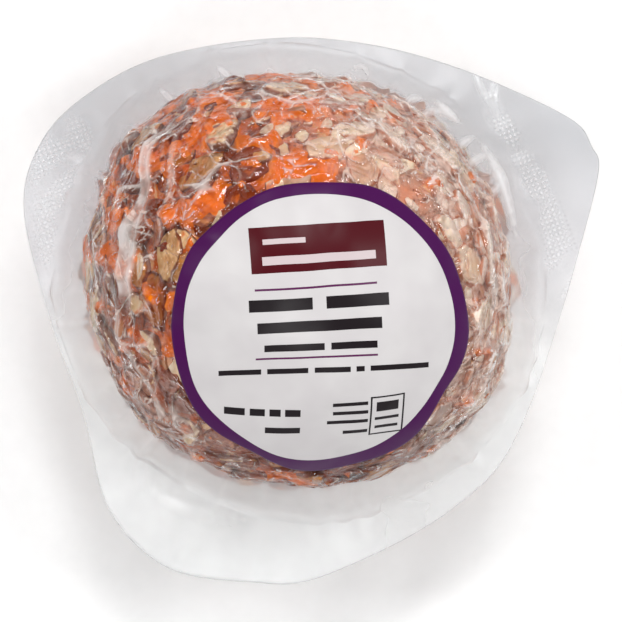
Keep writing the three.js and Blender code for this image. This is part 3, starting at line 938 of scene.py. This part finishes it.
# Clear vacuum film, drawn down hot: it shows what it touches, turns milky where air or fat is trapped
# under it and, on the pale side, with a painted sheen, whitens on its creases, has painted glints as thin
# white lines on its crinkles, and mirrors the lamps in small sharp glints.
def filmMaterial():
    material, add = newMaterial("shrunkClearFilm")
    place = add("TexCoord").outputs["Object"]
    airAndSheen, crease = (add("Attribute", attribute_name=name).outputs["Fac"] for name in ("airAndSheen", "crease"))
    fine = add("TexNoise", {
        "Vector": place, "Scale": lumpScale(shrunkFilm["wisp"]), "Detail": 4.0, "Distortion": 2.2})
    wisp = add("MapRange", {0: fine, 1: 0.38, 2: 0.66, 3: 0.1, 4: 1.0})
    milky = add("Math", {0: airAndSheen, 1: wisp}, operation="MULTIPLY")
    crinkle = add("TexNoise", noise_type="RIDGED_MULTIFRACTAL", inputs={
        "Vector": place, "Scale": lumpScale(shrunkFilm["crinkle"]), "Detail": 2.0, "Distortion": 0.5,
        "Offset": 1.0, "Gain": 1.6})
    # Thin white lines on the crinkles' ridges: partly stress whitening, partly painted glints of the lamps.
    white = add("MapRange", {0: crinkle, 1: 1.42, 2: 1.68, 3: 0.0, 4: 0.85})
    creasesAndPaintedGlints = add("Math", {0: crease, 1: white}, operation="ADD")
    both = add("Math", {0: creasesAndPaintedGlints, 1: milky}, operation="ADD")
    haze = add("MapRange", {0: both, 1: 0.0, 2: 1.0, 3: 0.0, 4: shrunkFilm["cloudiest"]})
    clear = add("BsdfTransparent", {"Color": shrunkFilm["tint"]})
    milk = add("Mix", {0: crease, 6: shrunkFilm["milkyVeil"], 7: shrunkFilm["white"]}, data_type="RGBA")
    lit = add("BsdfDiffuse", {"Color": milk.outputs[2]})
    backlit = add("BsdfTranslucent", {"Color": milk.outputs[2]})
    veil = add("MixShader", {0: shrunkFilm["backlit"], 1: lit, 2: backlit})
    body = add("MixShader", {0: haze, 1: clear, 2: veil})
    bump = add("Bump", {"Height": crinkle, "Distance": shrunkFilm["crinkleRelief"] * mm, "Strength": 0.7})
    gloss = add("BsdfGlossy", {"Color": "#FFFFFF", "Roughness": shrunkFilm["roughness"], "Normal": bump})
    mirror = add("Fresnel", {"IOR": 1.49, "Normal": bump})
    shader = add("MixShader", {0: mirror, 1: body, 2: gloss})
    add("OutputMaterial", {"Surface": shader})
    return material


weldedFilm = {
    "cloud": 22.2,  # millimetres across
    "knurlPitch": 1.396,
    "knurlTurn": math.radians(25),
    "knurlRelief": 0.05,
    "knurlHaze": 0.28,
    "foldHaze": 1.2,
    "looseHaze": 0.1,
    "shadeGradientLow": -0.016,  # metres: all the painted light below the first, all the painted shade above the second
    "shadeGradientHigh": 0.028,
    # A white veil, painted light, strong at the lower end and faint at the upper end.
    "paintedLightHaze": (0.5, 0.04),
    # The tint greys towards the upper end: painted shade.
    "tint": [(0.0, "#FBFCFC"), (0.5, "#EFEFF1"), (1.0, "#E8E9EB")],
    "veil": "#FAFAFB",
}


# The flat skirt, two films welded by hot bars: satin and grey against white, greyer towards its upper end
# as painted shade and milky towards its lower end as painted light, cloudy and glossier where it is
# knurled or folded.
def skirtMaterial():
    material, add = newMaterial("weldedClearFilm")
    place = add("TexCoord").outputs["Object"]
    knurl, fold, loose = (add("Attribute", attribute_name=name).outputs["Fac"]
                          for name in ("knurl", "fold", "loose"))
    clouds = add("TexNoise", {"Vector": place, "Scale": lumpScale(weldedFilm["cloud"]), "Detail": 3.0})
    turns = 2 * math.pi / (weldedFilm["knurlPitch"] * mm)
    barLevel = add("Mapping", {
        "Vector": place, "Rotation": (0, 0, weldedFilm["knurlTurn"]), "Scale": (turns, turns, turns)})
    pitch = add("SeparateXYZ", {0: barLevel})
    waves = [add("Math", {0: pitch.outputs[i]}, operation="SINE") for i in (0, 1)]
    dots = add("Math", {0: waves[0], 1: waves[1]}, operation="MULTIPLY")
    dotted = add("Math", {0: dots, 1: knurl}, operation="MULTIPLY")
    specks = add("MapRange", {0: dotted, 1: 0.0, 2: 1.0, 3: 0.0, 4: weldedFilm["knurlHaze"]})
    folded = add("Math", {0: fold, 1: weldedFilm["foldHaze"], 2: specks}, operation="MULTIPLY_ADD")
    worked = add("Math", {0: loose, 1: weldedFilm["looseHaze"], 2: folded}, operation="MULTIPLY_ADD")
    across = add("SeparateXYZ", {0: place})
    # Painted light and shade by height: a whiter veil towards the lower end, a greyer tint towards the
    # upper.
    upper = add("MapRange", {
        0: across.outputs[1], 1: weldedFilm["shadeGradientLow"], 2: weldedFilm["shadeGradientHigh"]})
    low, high = weldedFilm["paintedLightHaze"]
    paintedLightAmount = add("MapRange", {0: upper, 1: 0.0, 2: 1.0, 3: low, 4: high})
    haze = add("Math", {0: clouds, 1: paintedLightAmount, 2: worked}, operation="MULTIPLY_ADD")
    paintedShadeTint = add("ValToRGB", {0: upper}, weldedFilm["tint"])
    clear = add("BsdfTransparent", {"Color": paintedShadeTint})
    veil = add("BsdfDiffuse", {"Color": weldedFilm["veil"]})
    body = add("MixShader", {0: haze, 1: clear, 2: veil})
    bump = add("Bump", {"Height": dotted, "Distance": weldedFilm["knurlRelief"] * mm, "Strength": 0.5})
    satin = add("MapRange", {0: fold, 1: 0.0, 2: 0.4, 3: 0.42, 4: 0.1})
    gloss = add("BsdfGlossy", {"Color": "#FFFFFF", "Roughness": satin, "Normal": bump})
    mirror = add("Fresnel", {"IOR": 1.5, "Normal": bump})
    shader = add("MixShader", {0: mirror, 1: body, 2: gloss})
    add("OutputMaterial", {"Surface": shader})
    return material


# Each printed bar is its middle, width and height in millimetres, on the print's own level.
printing = {
    "turn": math.radians(3.7),
    "arch": 0.0035,  # drop of the middle lines for each square millimetre to the side
    "field": [(-0.8, 18.0, 25.8, 7.9)],
    "pale": [(-7.3, 19.5, 8.0, 0.9), (-0.8, 16.2, 21.6, 1.5)],
    "rules": [(-1.7, 11.1, 23.2, 0.4), (-2.0, -2.4, 23.0, 0.4)],
    "dark": [
        (-17.4, -14.5, 3.8, 1.6), (-13.2, -14.5, 2.8, 1.6), (-9.9, -14.5, 2.1, 1.6), (-6.6, -14.5, 2.9, 1.6),
        (-8.4, -18.6, 6.6, 1.4),
        (4.3, -12.8, 6.8, 0.8), (4.4, -14.8, 6.8, 0.8), (3.9, -16.9, 7.9, 0.8), (5.5, -19.4, 4.8, 0.8),
        (11.6, -13.9, 4.4, 2.2), (11.6, -16.7, 4.8, 0.7), (11.6, -18.8, 4.6, 0.7),
    ],
    "arched": [
        (-8.6, 8.1, 11.8, 2.3), (6.0, 8.1, 12.2, 2.3), (-1.3, 3.8, 23.6, 2.1),
        (-6.3, -0.3, 11.2, 1.4), (5.0, -0.3, 8.9, 1.4),
        (-16.4, -5.1, 7.8, 1.1), (-7.6, -5.1, 7.6, 1.1), (0.8, -5.1, 6.8, 1.1), (6.1, -5.1, 1.6, 1.1),
        (13.9, -5.1, 11.7, 1.1),
    ],
    "boxOut": [(11.6, -16.1, 6.8, 9.2)],
    "boxIn": [(11.6, -16.1, 6.1, 8.5)],
    "fibre": 8.33,  # millimetres across
    "paper": [(0.3, "#C8C4C5"), (0.7, "#CFCCCC")],
    "black": "#1B1418",
    "wine": "#5A2450",
    "darkRed": "#4A000E",
    "unprinted": "#C9BABC",
    "violet": "#420048",
}


# The label: clay-coated paper, offset-printed and varnished, so it is smooth with soft glare.
def labelMaterial():
    material, add = newMaterial("varnishedPaperLabel")
    place = add("Attribute", attribute_name="printPlace").outputs["Vector"]
    level = add("Mapping", {"Vector": place, "Rotation": (0, 0, -printing["turn"])})
    parts = add("SeparateXYZ", {0: level})
    square = add("Math", {0: parts.outputs[0], 1: parts.outputs[0]}, operation="MULTIPLY")
    archUp = add("Math", {0: square, 1: printing["arch"], 2: parts.outputs[1]}, operation="MULTIPLY_ADD")
    arched = add("CombineXYZ", {0: parts.outputs[0], 1: archUp})

    # how far a point is from a set of bars: below 1 is inside one of them
    def bars(vector, key):
        nearest = 9.0
        for x, y, width, height in printing[key]:
            local = add("Mapping", vector_type="TEXTURE", inputs={
                "Vector": vector, "Location": (x, y, 0), "Scale": (width / 2, height / 2, 1)})
            size = add("VectorMath", {0: local}, operation="ABSOLUTE")
            sides = add("SeparateXYZ", {0: size})
            longer = add("Math", {0: sides.outputs[0], 1: sides.outputs[1]}, operation="MAXIMUM")
            nearest = add("Math", {0: longer, 1: nearest}, operation="MINIMUM")
        return add("Math", {0: nearest, 1: 1.0}, operation="LESS_THAN")

    fibre = add("TexNoise", {"Vector": place, "Scale": 1 / printing["fibre"], "Detail": 2.0})
    colour = add("ValToRGB", {0: fibre}, printing["paper"]).outputs[0]
    pastRing = add("Attribute", attribute_name="pastRing").outputs["Fac"]
    ring = add("Math", {0: pastRing, 1: 0.0}, operation="GREATER_THAN")
    outline = add("Math", {0: bars(level, "boxOut"), 1: bars(level, "boxIn")}, operation="SUBTRACT")
    for mask, ink in ((bars(level, "dark"), "black"), (bars(arched, "arched"), "black"), (outline, "black"),
                      (bars(arched, "rules"), "wine"), (bars(arched, "field"), "darkRed"),
                      (bars(arched, "pale"), "unprinted"), (ring, "violet")):
        colour = add("Mix", {0: mask, 6: colour, 7: printing[ink]}, data_type="RGBA").outputs[2]
    shader = add("BsdfPrincipled", {
        "Base Color": colour, "Roughness": 0.38, "IOR": 1.45, "Specular IOR Level": 0.2})
    add("OutputMaterial", {"Surface": shader})
    return material


print("building pieces")
coreHeight = np.minimum(coreHeight, filmHeight - 0.15)
orange = 0.85 * smears + 0.2 * waveField(onCheese, 9, 23) - 0.14
# Less orange below the label: painted shade.
orange += 0.2 * onSide("above", ways) - 0.1 * onSide("below", ways)
# On the pale side the bare cheese fades, partly as painted sheen.
fading = 0.6 * paleSheenShare(ways) * (1 - smears)
corePoints = ways * coreHeight[..., None] + ballCentre
corePoints[..., 2] = np.maximum(corePoints[..., 2], 0.5)
half = slice(0, None, 2)
cheeseTone = {"orange": orange[half, half], "pale": fading[half, half]}
cheese = gridMesh("cheese", corePoints[half, half], cheeseTone, True, True)
finishPiece(cheese, "cheese_ball", cheeseMaterial())
almond = almondMaterial()
for title, found, seed in (("almondSlices", largeSlices, 3), ("almondChips", smallChips, 4)):
    finishPiece(sliceMesh(title, found, seed), "cheese_ball", almond)

clearFilm = filmMaterial()
upper, under = slice(0, grid["footTop"] + 1), slice(grid["footUnder"], None)
for title, rows, poles in (("filmTop", upper, (True, False)), ("filmUnder", under, (False, True))):
    attributes = {"airAndSheen": airAndSheenHaze[rows], "crease": whitened[rows]}
    piece = gridMesh(title, filmPoints[rows], attributes, *poles)
    finishPiece(piece, "sealed_film", clearFilm)
finishPiece(makeSkirt(), "sealed_film", skirtMaterial())
finishPiece(makeLabel(), "label", labelMaterial())


# Floor, light and camera

studio = {
    "imageScale": 5.0,  # photo pixels to a millimetre at the height of the ball's centre
    "imageSize": 622,
    "ballPixel": (299, 281),
    "cameraDistance": 650.0,
    "sensor": 36.0,
    "sky": 0.8,
    # up the sky from its horizon: level, then grey
    "skyGreys": [(0.0, 1.0), (0.5, 0.6), (0.75, 0.25), (0.93, 0.06)],
    "boxDistance": 1500,
    "boxSize": (420, 340),
    # azimuth from +X and elevation from the ball in degrees, and watts
    "boxes": {
        "keyBox": (80, 56, 9.2),
        "rightBox": (8, 48, 6.2),
        "leftBox": (165, 52, 5.8),
        "lowBox": (262, 60, 6.2),
    },
    "floorReach": 4000,
    "floorLevel": -0.4,
    "tooth": 3.33,
    "paper": [(0.3, "#F8F8F8"), (0.7, "#FBFBFB")],
}


# A square of matt pale paper just under the part.
def addFloor():
    reach, level = studio["floorReach"], studio["floorLevel"]
    corners = np.array([(x * reach, y * reach, level) for x, y in ((-1, -1), (1, -1), (1, 1), (-1, 1))])
    floor = meshFrom("floor", corners, [[0, 1, 2, 3]])
    material, add = newMaterial("paleBackdropPaper")
    place = add("TexCoord").outputs["Object"]
    tooth = add("TexNoise", {"Vector": place, "Scale": lumpScale(studio["tooth"]), "Detail": 2.0})
    colour = add("ValToRGB", {0: tooth}, studio["paper"])
    shader = add("BsdfPrincipled", {"Base Color": colour, "Roughness": 0.9})
    add("OutputMaterial", {"Surface": shader})
    floor.data.materials.append(material)


# A soft box at an azimuth and elevation from the ball, facing it.
def addLight(name, azimuth, elevation, watts):
    data = bpy.data.lights.new(name, "AREA")
    data.shape = "RECTANGLE"
    data.size, data.size_y = (side * mm for side in studio["boxSize"])
    data.energy = watts
    lamp = bpy.data.objects.new(name, data)
    bpy.context.scene.collection.objects.link(lamp)
    a, e = math.radians(azimuth), math.radians(elevation)
    away = np.array([math.cos(a) * math.cos(e), math.sin(a) * math.cos(e), math.sin(e)])
    lamp.location = ((ballCentre + away * studio["boxDistance"]) * mm).tolist()
    toBall = Vector((-away).tolist())
    lamp.rotation_euler = toBall.to_track_quat("-Z", "Y").to_euler()


# A sky that darkens overhead, the soft boxes, and a camera that looks straight down and has the ball's
# centre on its pixel of the photograph.
def addStudio():
    world = bpy.data.worlds.new("softStudio")
    world.use_nodes = True
    tree = world.node_tree
    add = partial(addNode, tree)
    toSky = add("TexCoord").outputs["Generated"]
    level = add("SeparateXYZ", {0: toSky}).outputs[2]
    sky = add("ValToRGB", {0: level}, [(at, (grey, grey, grey, 1)) for at, grey in studio["skyGreys"]])
    back = tree.nodes["Background"]
    back.inputs["Strength"].default_value = studio["sky"]
    tree.links.new(sky.outputs[0], back.inputs["Color"])
    bpy.context.scene.world = world
    for name, box in studio["boxes"].items():
        addLight(name, *box)
    data = bpy.data.cameras.new("camera")
    camera = bpy.data.objects.new("camera", data)
    bpy.context.scene.collection.objects.link(camera)
    scale, size, pixel = studio["imageScale"], studio["imageSize"], studio["ballPixel"]
    x = (size / 2 - pixel[0]) / scale
    y = (pixel[1] - size / 2) / scale
    camera.location = (x * mm, y * mm, (ball["centreHeight"] + studio["cameraDistance"]) * mm)
    data.sensor_width = studio["sensor"]
    data.lens = data.sensor_width * studio["cameraDistance"] / (size / scale)
    data.clip_start, data.clip_end = 0.05, 20.0
    bpy.context.scene.camera = camera
    bpy.context.scene.view_settings.view_transform = "Standard"


print("studio")
addFloor()
addStudio()
